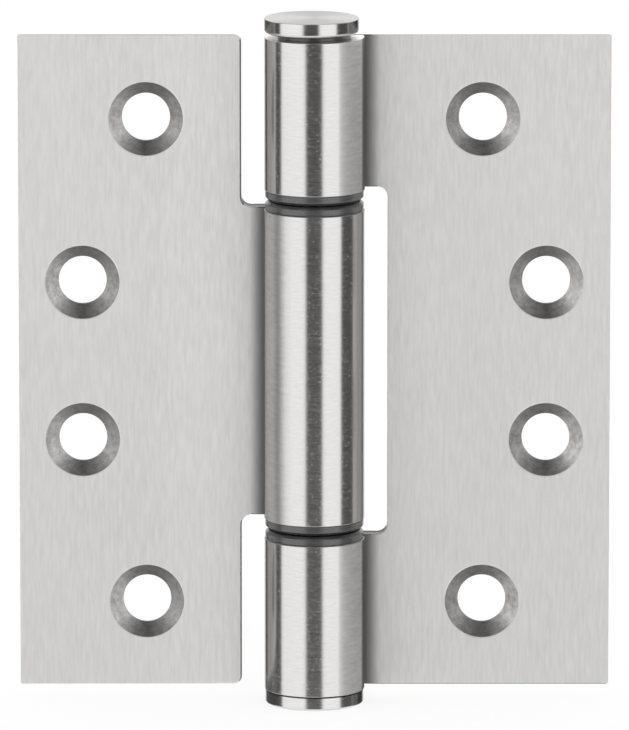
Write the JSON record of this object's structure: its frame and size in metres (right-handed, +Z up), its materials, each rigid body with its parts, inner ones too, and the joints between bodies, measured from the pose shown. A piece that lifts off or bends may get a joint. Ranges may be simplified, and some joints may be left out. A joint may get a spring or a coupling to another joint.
{
  "type": "heavy-duty door hinge",
  "caption": "Butt hinge with rolled, swaged knuckles on flanged bushes and a headed pin; joins a door to its frame and lets it swing.",
  "frame": {"origin": "on the pin's axis, halfway up the leaves", "axes": "+Z up along the pin towards its head, +X towards the outer edge of the frame leaf, -Y out of the countersunk faces when the hinge lies open flat"},
  "size_m": [0.102, 0.0172, 0.1198],
  "materials": {
    "brushed_leaf": "satin, brushed along the pin",
    "turned_steel": "satin, turned",
    "bush": "dark grey satin"
  },
  "bodies": {
    "frame_leaf": {"frame_leaf": "brushed_leaf", "hinge_pin": "turned_steel", "top_guide_bush": "bush", "upper_frame_bush": "bush", "lower_frame_bush": "bush", "bottom_cap": "turned_steel"},
    "door_leaf": {"door_leaf": "brushed_leaf", "upper_door_bush": "bush", "lower_door_bush": "bush"}
  },
  "joints": [
    {"name": "leaf_swing", "type": "hinge", "parent": "frame_leaf", "child": "door_leaf", "pos_m": [0, 0, 0], "axis": [0, 0, 1], "range_deg": [-125, 180]}
  ]
}
